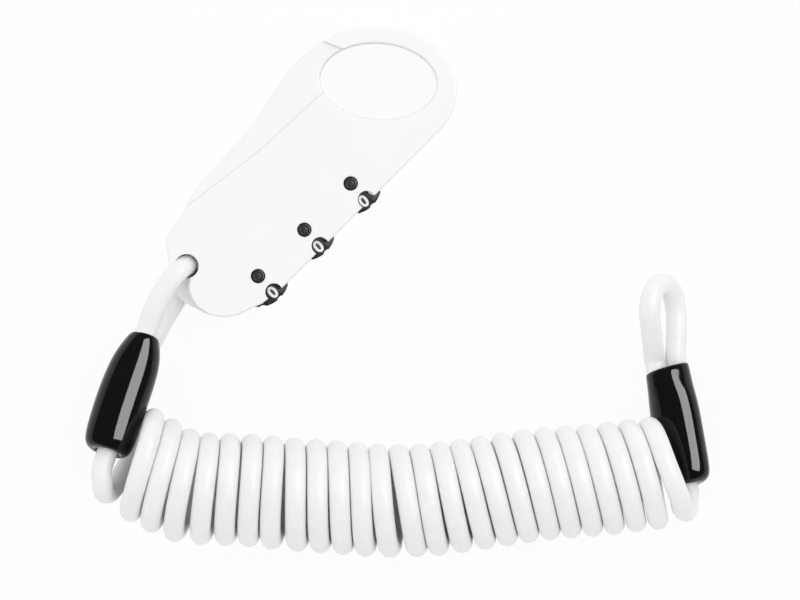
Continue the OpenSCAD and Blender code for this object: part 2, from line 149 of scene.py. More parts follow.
class StageSettings(bpy.types.PropertyGroup):
    """Camera, lamps and floor."""
    lens: bpy.props.FloatProperty(name="Lens", description="Focal length of the camera", default=897.0, min=20.0,
                                  unit="CAMERA")
    height: length("Camera height", "Height of the camera over the floor", 4.0)
    key: bpy.props.FloatProperty(name="Key lamp", description="Power of the broad soft lamp", default=0.85, min=0.0,
                                 unit="POWER")
    streak: bpy.props.FloatProperty(name="Streak lamp", description="Power of the lamp that gloss shows", default=21.0,
                                    min=0.0, unit="POWER")
    fill: bpy.props.FloatProperty(name="Fill", description="Level of the light from all round", default=0.92, min=0.0)
    floor: colour("Floor", "Colour of the plain floor", (0.93, 0.93, 0.93))


# ---------------------------------------------------------------- plane geometry, in millimetres

def cos_sin(a):
    """Cosine and sine of an angle in degrees."""
    return math.cos(math.radians(a)), math.sin(math.radians(a))


def spokes(count):
    """Angles of points evenly round a circle, in radians."""
    return [math.tau * k / count for k in range(count)]


def quarter(steps):
    """A quarter round of radius 1: how far in and how far down each of its points lies."""
    return [(1 - c, 1 - s) for c, s in (cos_sin(90 * k / steps) for k in range(steps + 1))]


def turned(p, a):
    c, s = cos_sin(a)
    return (p[0] * c - p[1] * s, p[0] * s + p[1] * c)


def opening_point(a):
    c, s = cos_sin(a)
    x, y = turned((OPENING_R[0] * c, OPENING_R[1] * s), OPENING_TURN)
    return (OPENING_AT[0] + x, OPENING_AT[1] + y)


def opening_run(start, stop, steps):
    return [(*opening_point(start + (stop - start) * i / steps), 0) for i in range(steps + 1)]


def arc_run(centre, r, start, stop, steps):
    return [(*on_circle(centre, r, start + (stop - start) * i / steps), 0) for i in range(steps + 1)]


def on_circle(centre, r, a):
    c, s = cos_sin(a)
    return (centre[0] + r * c, centre[1] + r * s)


def case_corners():
    """Outline of the shells, as x, y and rounding. The hook's end is left long, to be cut where the gate meets it."""
    hook = [(DIAL_EDGE, HALF_LENGTH + 2.92, 11.3)] + arc_run(HOOK_AT, HOOK_R, 104, 175, 26)
    base = [(-8.2, -4, 40), (-10.6, -22, 6), (-9.2, -29.8, 3), (0.4, -36.9, 6)]
    base += arc_run((3.67, -26.2), 9.15, -75, -24, 13) + [(13.75, -25.2, 10), (DIAL_EDGE, -20, 14)]
    return hook + opening_run(142, FOOT_ANGLE, 88) + base


def gate_corners():
    """Outline of the gate. Its tip is left long, to be cut flat where it meets the hook's end."""
    foot = [(-7.4, -23, 1.5), (-4.6, -20, 1.5), (-5.6, -13.5, 3), (-6.4, 11.4, 0.6)]
    back = [(-15.6, 13.5, 5), (-15.2, 9.6, 10), (-12.75, -2, 25), (-12.05, -18, 6), (-10.95, -22.42, 0.9),
            (-9.2, -22.42, 0.9)]
    return foot + opening_run(FOOT_ANGLE, -246, 28) + arc_run(HOOK_AT, HOOK_R, 159, 175, 7) + back


def beyond_hook(gap, side, past_back=2, past_opening=1.6, depth=4):
    """Block outline on one side of the line where hook and gate meet, gap away from it and past both its ends."""
    a, b = on_circle(HOOK_AT, HOOK_R, HOOK_CUT[0]), opening_point(HOOK_CUT[1])
    n = inward(b, a)
    ends = [(p[0] + k * n[1], p[1] - k * n[0]) for p, k in ((a, past_back), (b, -past_opening))]
    return [(p[0] + k * n[0], p[1] + k * n[1])
            for k, run in ((gap, ends), (gap + depth * side, ends[::-1])) for p in run]


def inward(a, b):
    x, y = b[0] - a[0], b[1] - a[1]
    n = math.hypot(x, y)
    return (-y / n, x / n)


def outline(corners):
    """Closed outline with its corners rounded by their third number."""
    points = []
    for i, c in enumerate(corners):
        if c[2] == 0:
            points.append((c[0], c[1]))
            continue
        n, m = inward(corners[i - 1], c), inward(c, corners[(i + 1) % len(corners)])
        turn = math.atan2(n[0] * m[1] - n[1] * m[0], n[0] * m[0] + n[1] * m[1])
        reach, side = c[2] * math.tan(abs(turn) / 2), math.copysign(c[2], turn)
        start = (c[0] - reach * n[1], c[1] + reach * n[0])
        middle = (start[0] + side * n[0], start[1] + side * n[1])
        steps = max(3, math.ceil(abs(math.degrees(turn)) / 5))
        for k in range(steps + 1):
            x, y = turned((start[0] - middle[0], start[1] - middle[1]), math.degrees(turn) * k / steps)
            points.append((middle[0] + x, middle[1] + y))
    return [p for i, p in enumerate(points) if math.dist(p, points[i - 1]) > 1e-4]


def near_edge(p, loop):
    """Distance from p to a closed loop."""
    best = 1e9
    for i, b in enumerate(loop):
        a = loop[i - 1]
        ex, ey = b[0] - a[0], b[1] - a[1]
        t = max(0.0, min(1.0, ((p[0] - a[0]) * ex + (p[1] - a[1]) * ey) / (ex * ex + ey * ey)))
        best = min(best, math.hypot(p[0] - a[0] - t * ex, p[1] - a[1] - t * ey))
    return best


def moved_in(loop, d):
    """The loop moved in by d with as many points; where it would cross itself, points gather in the new corner."""
    if d <= 0:
        return list(loop)
    n = len(loop)
    moved = []
    for i, c in enumerate(loop):
        a, b = inward(loop[i - 1], c), inward(c, loop[(i + 1) % n])
        k = d / max(0.2, 1 + a[0] * b[0] + a[1] * b[1])
        moved.append((c[0] + k * (a[0] + b[0]), c[1] + k * (a[1] + b[1])))
    good = [near_edge(p, loop) > d - 0.02 for p in moved]
    if not any(good):
        raise RuntimeError("the outline is too narrow for that edge")
    result = list(moved)
    for i in range(n):
        if good[i]:
            continue
        a, b = i, i
        while not good[a % n]:
            a -= 1
        while not good[b % n]:
            b += 1
        p, q = moved[a % n], moved[b % n]
        u = inward(moved[(a - 1) % n], p)
        v = inward(q, moved[(b + 1) % n])
        cross = u[0] * v[1] - u[1] * v[0]
        meet = ((p[0] + q[0]) / 2, (p[1] + q[1]) / 2)
        if abs(cross) > 0.05:
            s, t = p[0] * u[0] + p[1] * u[1], q[0] * v[0] + q[1] * v[1]
            found = ((s * v[1] - t * u[1]) / cross, (t * u[0] - s * v[0]) / cross)
            if math.dist(found, meet) < 2 * d:
                meet = found
        result[i] = meet
    return result


def ring(loop, z):
    return [Vector((x, y, z)) * MM for x, y in loop]


def circle(centre, r, z, count=48):
    return [Vector((centre[0] + r * math.cos(a), centre[1] + r * math.sin(a), z)) * MM for a in spokes(count)]


# ---------------------------------------------------------------- modelling steps

def let_go():
    if bpy.context.object and bpy.context.mode != "OBJECT":
        bpy.ops.object.mode_set(mode="OBJECT")
    bpy.ops.object.select_all(action="DESELECT")


def hold(piece):
    let_go()
    piece.select_set(True)
    bpy.context.view_layer.objects.active = piece


def pull_rings(name, rings):
    """A skin: a circle is laid on the first ring, pulled out ring by ring, and closed at both ends."""
    let_go()
    count = len(rings[0])
    bpy.ops.mesh.primitive_circle_add(vertices=count, radius=MM, fill_type="NOTHING")
    piece = bpy.context.object
    piece.name = piece.data.name = name
    for vertex, place in zip(piece.data.vertices, rings[0]):
        vertex.co = place
    bpy.ops.object.mode_set(mode="EDIT")
    bpy.ops.mesh.select_all(action="SELECT")
    for places in rings[1:]:
        bpy.ops.mesh.extrude_region_move()
        mesh = bmesh.from_edit_mesh(piece.data)
        fresh = [v for v in mesh.verts if v.select]
        if len(fresh) != count:
            raise RuntimeError(f"{name}: a ring came out with {len(fresh)} corners")
        for vertex, place in zip(fresh, places):
            vertex.co = place
        bmesh.update_edit_mesh(piece.data)
    for end in (0, len(rings) - 1):
        bpy.ops.mesh.select_all(action="DESELECT")
        mesh = bmesh.from_edit_mesh(piece.data)
        mesh.verts.ensure_lookup_table()
        for k in range(count):
            mesh.verts[end * count + k].select = True
        mesh.select_flush(True)
        bmesh.update_edit_mesh(piece.data)
        bpy.ops.mesh.edge_face_add()
    bpy.ops.mesh.select_all(action="SELECT")
    bpy.ops.mesh.remove_doubles(threshold=2e-6)
    bpy.ops.mesh.normals_make_consistent(inside=False)
    bpy.ops.object.mode_set(mode="OBJECT")
    return piece


def combine(piece, tool, operation="DIFFERENCE"):
    """Cuts the tool from the piece, or joins it on, and removes the tool."""
    hold(piece)
    step = piece.modifiers.new("combine", "BOOLEAN")
    step.operation, step.object, step.solver = operation, tool, "EXACT"
    bpy.ops.object.modifier_apply(modifier=step.name)
    bpy.data.objects.remove(tool)
    if len(piece.data.polygons) < 8:
        raise RuntimeError(f"{piece.name}: nothing is left after a cut")
    return piece


def drill(piece, centre, r, low, high, flare_low=0.0, flare_high=0.0):
    """A round hole, with a small chamfer at an end that reaches a face."""
    steps = [(r, low)]
    if flare_low:
        steps = [(r + flare_low, low - 1), (r + flare_low, low), (r, low + flare_low)]
    if flare_high:
        steps += [(r, high - flare_high), (r + flare_high, high), (r + flare_high, high + 1)]
    else:
        steps.append((r, high))
    return combine(piece, pull_rings("drill", [circle(centre, *step) for step in steps]))


def mill(piece, loop, low, high):
    return combine(piece, pull_rings("mill", [ring(loop, low), ring(loop, high)]))


def box_loop(x, y, centre=(0, 0), turn=0):
    return [(centre[0] + p[0], centre[1] + p[1])
            for p in (turned(c, turn) for c in ((x[0], y[0]), (x[1], y[0]), (x[1], y[1]), (x[0], y[1])))]


def finish_piece(piece, look, angle, body, nodes=()):
    """Smooth shading, material, and the piece's place on the frame."""
    hold(piece)
    bpy.ops.object.shade_smooth_by_angle(angle=math.radians(angle))
    piece.data.materials.clear()
    piece.data.materials.append(look)
    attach(piece, body)
    if nodes:
        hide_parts(*nodes)
    return piece


# ---------------------------------------------------------------- shader sums

class Wire:
    """One output socket; plain maths on it adds Math nodes."""

    def __init__(self, graph, socket):
        self.graph, self.socket = graph, socket

    def sum(self, operation, *values):
        return self.graph.add("ShaderNodeMath", {"operation": operation}, dict(enumerate(values)))

    def __add__(self, other):
        return self.sum("ADD", self, other)

    def __radd__(self, other):
        return self.sum("ADD", other, self)

    def __sub__(self, other):
        return self.sum("SUBTRACT", self, other)

    def __rsub__(self, other):
        return self.sum("SUBTRACT", other, self)

    def __mul__(self, other):
        return self.sum("MULTIPLY", self, other)

    def __rmul__(self, other):
        return self.sum("MULTIPLY", other, self)

    def clamp(self, low, high):
        return self.graph.add("ShaderNodeClamp", {}, {"Value": self, "Min": low, "Max": high})


class Graph:
    """The node tree of one material or of the world."""

    def __init__(self, owner):
        self.owner = owner
        owner.use_nodes = True
        self.tree = owner.node_tree
        self.tree.nodes.clear()

    def add(self, kind, settings=None, inputs=None, output=0):
        """Any node: its type, its settings, which are set first, and values or links for its sockets."""
        node = self.tree.nodes.new(kind)
        for name, value in (settings or {}).items():
            setattr(node, name, value)
        for name, value in (inputs or {}).items():
            socket = node.inputs[name]
            if isinstance(value, Wire):
                self.tree.links.new(value.socket, socket)
            elif hasattr(value, "__len__") and len(value) == 3 and socket.type == "RGBA":
                socket.default_value = (*value, 1.0)
            else:
                socket.default_value = value
        return Wire(self, node.outputs[output]) if len(node.outputs) else None

    def blend(self, factor, a, b):
        """A colour between a and b."""
        return self.add("ShaderNodeMix", {"data_type": "RGBA"}, {0: factor, 6: a, 7: b}, output=2)

    def places(self, turn=(0, 0, 0), stretch=(1, 1, 1)):
        """Object coordinates, turned and stretched."""
        base = self.add("ShaderNodeTexCoord", output=3)
        return self.add("ShaderNodeMapping", {}, {"Vector": base, "Rotation": turn, "Scale": stretch})

    def grain(self, places, scale, detail=3.0, rough=0.55):
        return self.add("ShaderNodeTexNoise", {}, {"Vector": places, "Scale": scale, "Detail": detail,
                                                   "Roughness": rough})

    def bumps(self, height, strength, distance):
        return self.add("ShaderNodeBump", {}, {"Height": height, "Strength": strength, "Distance": distance})

    def close(self, **inputs):
        """The main shader, set from its sockets' names with _ for a space."""
        shader = self.add("ShaderNodeBsdfPrincipled", {}, {k.replace("_", " "): v for k, v in inputs.items()})
        self.add("ShaderNodeOutputMaterial", {}, {"Surface": shader})
        return self.owner


def material(name):
    return Graph(bpy.data.materials.new(name))


def toned(shade, k):
    return tuple(min(1.0, c * k) for c in shade)


def moulded_white(name, shade):
    """Satin moulded plastic: fine spark texture, faint flow marks and handling haze."""
    g = material(name)
    at = g.places()
    fine, broad = g.grain(at, 5200, 2), g.grain(at, 90, 3)
    flow = g.grain(g.places((0, 0, 0.5), (160, 30, 60)), 1.0, 3)
    tone = (0.65 * broad + 0.35 * flow).clamp(0.3, 0.7)
    return g.close(Base_Color=g.blend((tone - 0.3) * 2.5, toned(shade, 0.985), toned(shade, 1.01)),
                   Roughness=0.4 + 0.16 * broad, Normal=g.bumps(fine, 0.05, 0.0001),
                   IOR=1.5, Specular_IOR_Level=0.2)


def matt_black(name, shade):
    """Dial plastic: fine matt texture with paler rubbed patches."""
    g = material(name)
    at = g.places()
    fine, patch = g.grain(at, 4200, 3), g.grain(at, 420, 4)
    rub = ((patch - 0.52) * 5).clamp(0, 1)
    return g.close(Base_Color=g.blend(rub * 0.6, shade, toned(shade, 2.6)), Roughness=0.3 + 0.2 * fine,
                   Normal=g.bumps(fine, 0.12, 0.0001), Specular_IOR_Level=0.3)


def number_paint(name, shade):
    """Printed paint, slightly uneven."""
    g = material(name)
    patch = g.grain(g.places(), 2600, 3)
    return g.close(Base_Color=g.blend(((patch - 0.4) * 3).clamp(0, 1), toned(shade, 0.93), shade),
                   Roughness=0.42 + 0.15 * patch, Normal=g.bumps(patch, 0.1, 0.0001))


def cable_jacket(name, shade):
    """Smooth jacket with a soft gloss, faint drawing lines and a slight waviness."""
    g = material(name)
    at = g.places()
    soft, fine = g.grain(at, 240, 3), g.grain(at, 2400, 2)
    return g.close(Base_Color=g.blend(((soft - 0.3) * 2.2).clamp(0, 1), toned(shade, 0.965), toned(shade, 1.01)),
                   Roughness=0.26 + 0.14 * soft, Normal=g.bumps(0.7 * soft + 0.3 * fine, 0.1, 0.0002),
                   IOR=1.5, Specular_IOR_Level=0.07)


def gloss_black(name, shade):
    """Glossy shrunk sleeve: long soft waves and a few dull spots."""
    g = material(name)
    at = g.places()
    wave, fine = g.grain(at, 130, 2, 0.4), g.grain(at, 1900, 3)
    return g.close(Base_Color=g.blend(((fine - 0.45) * 3).clamp(0, 1), shade, toned(shade, 1.8)),
                   Roughness=0.05 + 0.05 * fine, Normal=g.bumps(wave, 0.15, 0.0006), IOR=1.5, Specular_IOR_Level=0.25)


def drawn_metal(name, shade, rough, stretch=(900, 900, 60)):
    """Bare metal with fine lines along one way and dull patches."""
    g = material(name)
    lines = g.grain(g.places((0, 0, 0), stretch), 1.0, 4)
    patch = g.grain(g.places(), 500, 3)
    return g.close(Base_Color=g.blend(patch, toned(shade, 0.86), shade), Metallic=1.0,
                   Roughness=rough + 0.16 * patch, Normal=g.bumps(lines, 0.15, 0.0001))


# ---------------------------------------------------------------- the cable's line

# Sleeves: mouth, heading, rise and roll. The strands of a loop lie STRAND to each side of the sleeve's axis
LOCK_END = ((-9.2, -14.2, 9.4), -106.5, 15.0, 202.0)
FREE_END = ((96.0, -20.6, 5.2), -80.0, 8.0, 75.0)
STRAND = 2.2
# The coil: radius and first angle, then by turn its axis, lean, change of radius, lift off the floor and tilt
COIL_R = 9.3
COIL_START = 75.0
COIL_TURNS = (0.1, 25)
COIL_STEPS = 24
COIL_U = ((0, -17.3), (0.5, -12.85), (0.75, -10.7), (1, -9.15), (2, -5.5), (3, -1.5), (4, 3.2), (6, 12.35), (7, 16.65),
          (8, 21.45), (10, 30.25), (11, 34.55), (12, 38.8), (13, 43.85), (14, 48.1), (16, 56.95), (19, 70), (22, 82.9),
          (25, 96), (25.5, 101))
COIL_V = ((0, -41.8), (1, -39.6), (2, -41.9), (3, -44), (4, -44.7), (6, -44.9), (8, -45.8), (10, -46.4), (12, -47.1),
          (14, -46.9), (16, -45.8), (19, -43.8), (22, -42.8), (25, -41.3), (25.5, -41.1))
COIL_LEAN = ((0, 20), (1, 21), (2, 19), (3, 16.5), (4, 12), (5, 9.5), (6, 8.5), (7, 8.2), (8, 4.9), (9, 4), (10, 2.3),
             (11, 1.8), (12, 0), (13, -5.1), (14, -5), (15, -6.9), (16, -9.3), (17, -10.3), (20, -10.2), (24, -11.6),
             (25.5, -13))
COIL_SWELL = ((0, -5), (0.3, -4.7), (0.5, -3), (0.78, 0.9), (1, 0.5), (1.5, 0))
COIL_LIFT = ((0, 1.2), (1, 0))
COIL_TILT = ((0, 0), (13, 0), (24.6, 0.7), (25.5, 0.7))
COIL_TAIL = ((98.9, -48.4, 15.6), (99.9, -48.9, 11.6))
LOCK_LOOP = ((-6.9, -14.6, 7.5), (-4.5, -10.1, 5.4), (-2.5, -6.8, 3.2), (-1.5, -4.3, 2.35), (-0.7, -2.2, 2.8),
             (-0.3, -0.4, 4.6), (-0.25, 0, 7), (-0.25, 0, 9.8), (-0.62, -0.08, 11.9), (-1.58, -0.87, 13.2),
             (-3, -2.35, 13.5), (-5.1, -5.6, 13), (-7, -9.3, 12.1), (-8.4, -13.2, 11.3))
FREE_LOOP = ((92.9, -13.6, 8.6), (92.45, -8.8, 10.9), (93.2, -5.2, 10), (95.1, -3.6, 7.1), (96.9, -5.1, 4.4),
             (97.8, -8.6, 3.2), (97.95, -13.6, 3.6))


def read_table(t, table):
    """Value at t, on straight lines between the entries of a table."""
    if t <= table[0][0]:
        return table[0][1]
    for (a, p), (b, q) in zip(table, table[1:]):
        if t <= b:
            return p + (q - p) * (t - a) / (b - a)
    return table[-1][1]


def spun(p, a):
    """Turned about the vertical."""
    return Vector((*turned(p, a), p[2]))


def tipped(p, a):
    """Tipped about the second axis."""
    c, s = cos_sin(a)
    return Vector((p[0] * c + p[2] * s, p[1], p[2] * c - p[0] * s))


def in_sleeve(end, p):
    """From a sleeve's own frame, with its axis along the third number, to the table frame."""
    mouth, heading, rise, roll = end
    return Vector(mouth) + spun(tipped(spun(p, roll), 90 - rise), heading)


def beside_eye(s, across, z):
    """A point s from the eye along the strands that leave it."""
    return spun((s, across, z), STRAND_TURN)


def on_table(p):
    """From the table frame, in millimetres, to the part's frame, in metres."""
    x, y = turned(p, LAY_TURN)
    return Vector((EYE[0] + x, EYE[1] + y, p[2])) * MM


def coil_point(t):
    a, lean = math.radians(COIL_START + 360 * t), math.radians(read_table(t, COIL_LEAN))
    out = Vector((math.cos(a) * math.sin(lean), math.cos(a) * math.cos(lean), math.sin(a)))
    axis = Vector((read_table(t, COIL_U), read_table(t, COIL_V), COIL_R + CABLE_R + read_table(t, COIL_LIFT)))
    lag = Vector((read_table(t, COIL_TILT) * (math.sin(a) - 1), 0, 0))
    return axis + (COIL_R + read_table(t, COIL_SWELL)) * out + lag


def cable_marks():
    """Points that the cable passes, from its tail at the lock to its tail at the free loop."""
    def tail(end):
        return [in_sleeve(end, (-STRAND, 0, z)) for z in (17.8, 9, 0, -2)]

    def main(end):
        return ([in_sleeve(end, (STRAND, 0, z)) for z in (-2, 0, 9, 17)] + [in_sleeve(end, (STRAND / 2, 0, 20))]
                + [in_sleeve(end, (0, 0, z)) for z in (23, 25)])

    lock = tail(LOCK_END)[:2] + [Vector(p) for p in LOCK_LOOP] + main(LOCK_END)[2:]
    start, turns = COIL_TURNS
    coil = [coil_point(start + i / COIL_STEPS) for i in range(COIL_STEPS * turns + 2)]
    free = tail(FREE_END) + [Vector(p) for p in FREE_LOOP] + main(FREE_END)
    return lock + [in_sleeve(LOCK_END, (0, 0, 29))] + coil + [Vector(p) for p in COIL_TAIL] + free[::-1]


def smooth_line(marks, step):
    """A smooth line through the marks, evenly fine, with spans of unlike length kept free of overshoot."""
    line = []
    last = len(marks) - 1
    for i in range(last):
        p = [marks[max(i - 1, 0)], marks[i], marks[i + 1], marks[min(i + 2, last)]]
        if i == 0:
            p[0] = 2 * p[1] - p[2]
        if i == last - 1:
            p[3] = 2 * p[2] - p[1]
        k = [0.0]
        for a, b in zip(p, p[1:]):
            k.append(k[-1] + max(1e-3, (b - a).length) ** 0.5)
        count = max(1, math.ceil((p[2] - p[1]).length / step))
        for j in range(count):
            t = k[1] + (k[2] - k[1]) * j / count
            a = [(p[m] * (k[m + 1] - t) + p[m + 1] * (t - k[m])) / (k[m + 1] - k[m]) for m in range(3)]
            b = [(a[m] * (k[m + 2] - t) + a[m + 1] * (t - k[m])) / (k[m + 2] - k[m]) for m in range(2)]
            line.append((b[0] * (k[2] - t) + b[1] * (t - k[1])) / (k[2] - k[1]))
    line.append(marks[last])
    return line


# ---------------------------------------------------------------- operators

class CABLELOCK_OT_cable(bpy.types.Operator):
    """The cable on one line: tail, loop through the eye, coil, and loop at the free end."""
    bl_idname = "cablelock.cable"
    bl_label = "Coiled cable"

    def execute(self, context):
        sizes = context.scene.lock_cable
        let_go()
        line = [on_table(p) for p in smooth_line(cable_marks(), 1.0)]
        bpy.ops.curve.primitive_bezier_curve_add()
        cable = context.object
        cable.name = cable.data.name = "cable"
        curve = cable.data
        curve.splines.clear()
        run = curve.splines.new("POLY")
        run.points.add(len(line) - 1)
        for point, place in zip(run.points, line):
            point.co = (*place, 1.0)
        curve.dimensions = "3D"
        curve.twist_mode = "MINIMUM"
        curve.bevel_depth = sizes.diameter / 2
        curve.bevel_resolution = 6
        curve.use_fill_caps = True
        run.use_smooth = True
        curve.materials.append(cable_jacket("cable_jacket", sizes.white))
        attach(cable, "case")
        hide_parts("cable_lock_loop", "cable_coil", "cable_free_loop")
        cable["line_length"] = sum((b - a).length for a, b in zip(line, line[1:]))
        return {"FINISHED"}


# Rings of a sleeve: place along it from the mouth, half width seen from above, half height, shift to its
# left, slant (how much further along its left side lies), and roll to its right in degrees
LOCK_SLEEVE = ((0.9, 2.5, 2.9, -0.6, 0, 0), (0.25, 2.7, 3.5, -0.6, 0, 0), (0.0, 2.9, 4.0, -0.6, 0, 0),
               (0.35, 3.2, 4.3, -0.6, 0, 0), (1.4, 3.65, 4.6, -0.55, 0, 0), (3.1, 4.25, 4.8, -0.5, 0, 0),
               (5.6, 4.9, 4.95, -0.35, 0, 0), (10.4, 5.25, 5.0, -0.05, 0, 0), (15.6, 5.25, 5.0, 0.2, 0, 0),
               (20, 5.25, 5.0, 0.2, 0, 0), (22.6, 5.08, 4.9, 0.2, 0, 0), (23.9, 4.7, 4.6, 0.2, 0, 0),
               (24.7, 4.1, 4.1, 0.1, 0, 0), (25.0, 3.2, 3.2, 0, 0, 0), (24.8, 2.5, 2.5, 0, 0, 0),
               (24.2, 2.15, 2.15, 0, 0, 0))
FREE_SLEEVE = ((0.9, 3.6, 2.9, 0, 0.45, 0), (0.2, 3.85, 3.2, 0, 0.45, 0), (0.0, 4.1, 3.5, 0, 0.45, 0),
               (0.15, 4.35, 3.8, 0, 0.45, 0), (0.7, 4.5, 4.2, 0, 0.4, 0), (3.0, 4.7, 4.75, 0, 0.2, 20),
               (6, 4.5, 5.4, 0, 0, 40), (10, 4.4, 5.6, 0, 0, 45), (14, 4.4, 5.6, 0, 0, 45), (19, 4.4, 5.6, 0, 0, 45),
               (21.6, 4.35, 5.45, 0, 0, 45), (22.7, 4.1, 5.15, 0, 0, 45), (23.4, 3.7, 4.5, 0, 0, 45),
               (23.85, 3.1, 3.5, 0, 0, 45), (24.0, 2.6, 2.6, 0, 0, 45), (23.6, 2.15, 2.15, 0, 0, 45))


# A crimp: its half sizes, and its rings as place along the sleeve and growth
CRIMP = (3.9, 1.9)
CRIMP_RINGS = ((5, 0), (5.4, 0.3), (15.6, 0.3), (16, 0))


def sleeve_rings(end, profile, stretch):
    axis = (in_sleeve(end, (0, 0, 1)) - Vector(end[0])).normalized()
    side = axis.cross(Vector((0, 0, 1))).normalized()
    up = side.cross(axis).normalized()
    rings = []
    for z, wide, tall, shift, slant, roll in profile:
        middle = Vector(end[0]) + axis * z * stretch + side * shift
        c, s = cos_sin(roll)
        across, over = side * c + up * s + axis * slant / wide, up * c - side * s
        rings.append([on_table(middle + across * wide * math.cos(a) + over * tall * math.sin(a)) for a in spokes(56)])
    return rings


def crimp_rings(end):
    wide, tall = CRIMP
    return [[on_table(in_sleeve(end, ((wide + grow) * math.cos(a), (tall + grow) * math.sin(a), z)))
             for a in spokes(40)] for z, grow in CRIMP_RINGS]


class CABLELOCK_OT_sleeves(bpy.types.Operator):
    """The two crimps and the glossy sleeves over them."""
    bl_idname = "cablelock.sleeves"
    bl_label = "Sleeves"

    def execute(self, context):
        sizes = context.scene.lock_cable
        black = gloss_black("sleeve_gloss", sizes.sleeve_black)
        alloy = drawn_metal("crimp_alloy", (0.74, 0.74, 0.76), 0.32, (60, 60, 900))
        stretch = sizes.sleeve_length / (SLEEVE * MM)
        for name, end, profile in (("lock_end", LOCK_END, LOCK_SLEEVE), ("free_end", FREE_END, FREE_SLEEVE)):
            cover = pull_rings(name + "_cover", sleeve_rings(end, profile, stretch))
            hold(cover)
            step = cover.modifiers.new("soften", "SUBSURF")
            step.levels = step.render_levels = 2
            bpy.ops.object.modifier_apply(modifier=step.name)
            finish_piece(cover, black, 60, "case", (name + "_sleeve",))
            crimp = pull_rings(name + "_crimp", crimp_rings(end))
            finish_piece(crimp, alloy, 40, "case", (name + "_ferrule",))
        on_table(beside_eye(6.5, 0, PARTING))
        return {"FINISHED"}


def shell_rings(loop, base, face, edge, drop, seam):
    """Rings from the parting plane to a face, with the fine seam groove and the rounded outer edge."""
    way = 1 if face > base else -1
    steps = [(seam, base), (0, base + way * 1.5 * seam)]
    steps += [(edge * d, face - way * drop * h) for d, h in quarter(8)] + [(edge + 0.08, face)]
    return [ring(moved_in(loop, d), z) for d, z in steps]


# Room that the gate sweeps
SWEEP = ((-18, -22.6), (-9, -22.6), (-6.8, -22), (-4.5, -20), (-3.4, -14), (2.6, 9.8), (2.8, 18), (-18, 18))
BOSS_ROOM = 3.5
PIN_HOLE = 1.27
PIN_END = 0.5

# Bores of the screws: radius and height, and radius and depth of the heads
SCREW_HOLE = (1.05, 11.3)
SCREW_HEAD = (1.95, 1.5)

# Opening of the channel beside the eye, at the face, in the table frame; it narrows below the face
CHANNEL = ((-9, -15, 0), (10, -15, 0), (6.2, -10.9, 2), (1.5, -7.6, 4.5), (0.4, -4.6, 3), (0.75, -2.7, 0.8),
           (-0.3, 0.4, 0.8), (-1.35, 1.35, 0.6), (-9, -5.9, 0))
CHANNEL_FLARE = 0.5
CHANNEL_FLARE_DEPTH = 1.6

# The eye in each shell: place in the table frame and radius
EYE_FRONT = ((-0.2, -0.1), 2.42)
EYE_REAR = ((-0.25, 0), 2.15)
EYE_EDGE = 0.06

# Room for a dial, its journal, its window, its detent spring, its cam and its axle
DIAL_ROOM = 6.7
JOURNAL_HOLE = 1.45
WINDOW_R = 1.75
DETENT_ROOM, DETENT_TURN, DETENT_Z = ((6.2, 7.6), (-3.1, 3.1)), 216, (8.4, 11.6)
CAM_ROOM, CAM_FLOOR = 4.3, 1.8
AXLE_HOLE, AXLE_Z = 1.22, (0.8, 2.8)

# Room for the lock bar, the gate's nose, the bar's fingers and the return springs, in x and y
BAR_ROOM = ((0.15, 4.55), (-23.8, 5.8))
NOSE_ROOM = ((-5.8, 0.45), (-15.4, -10.6))
FINGER_X, FINGER_HALF = (0.45, 5.25), 1.2
SPRING_X, SPRING_HALF, SPRING_Y = (0.45, 8.2), 1.35, (-2.35, -15.45)
BAR_FLOOR = BAR_Z[0] - 0.1


def on_case(p):
    """From the table frame to the part's frame, in millimetres."""
    x, y = turned(p, LAY_TURN)
    return (EYE[0] + x, EYE[1] + y)


def shared_cuts(shell):
    """Cuts that go through both shells: the hook's end, the gate's room, its pin and the screws."""
    mill(shell, beyond_hook(0.0, 1), -1, CASE_TOP + 1)
    mill(shell, SWEEP, *GATE_SLOT)
    drill(shell, PIVOT, BOSS_ROOM, *GATE_SLOT)
    drill(shell, PIVOT, PIN_HOLE, PIN_END, CASE_TOP - PIN_END)
    for place in SCREWS:
        drill(shell, place, SCREW_HOLE[0], -1, SCREW_HOLE[1])


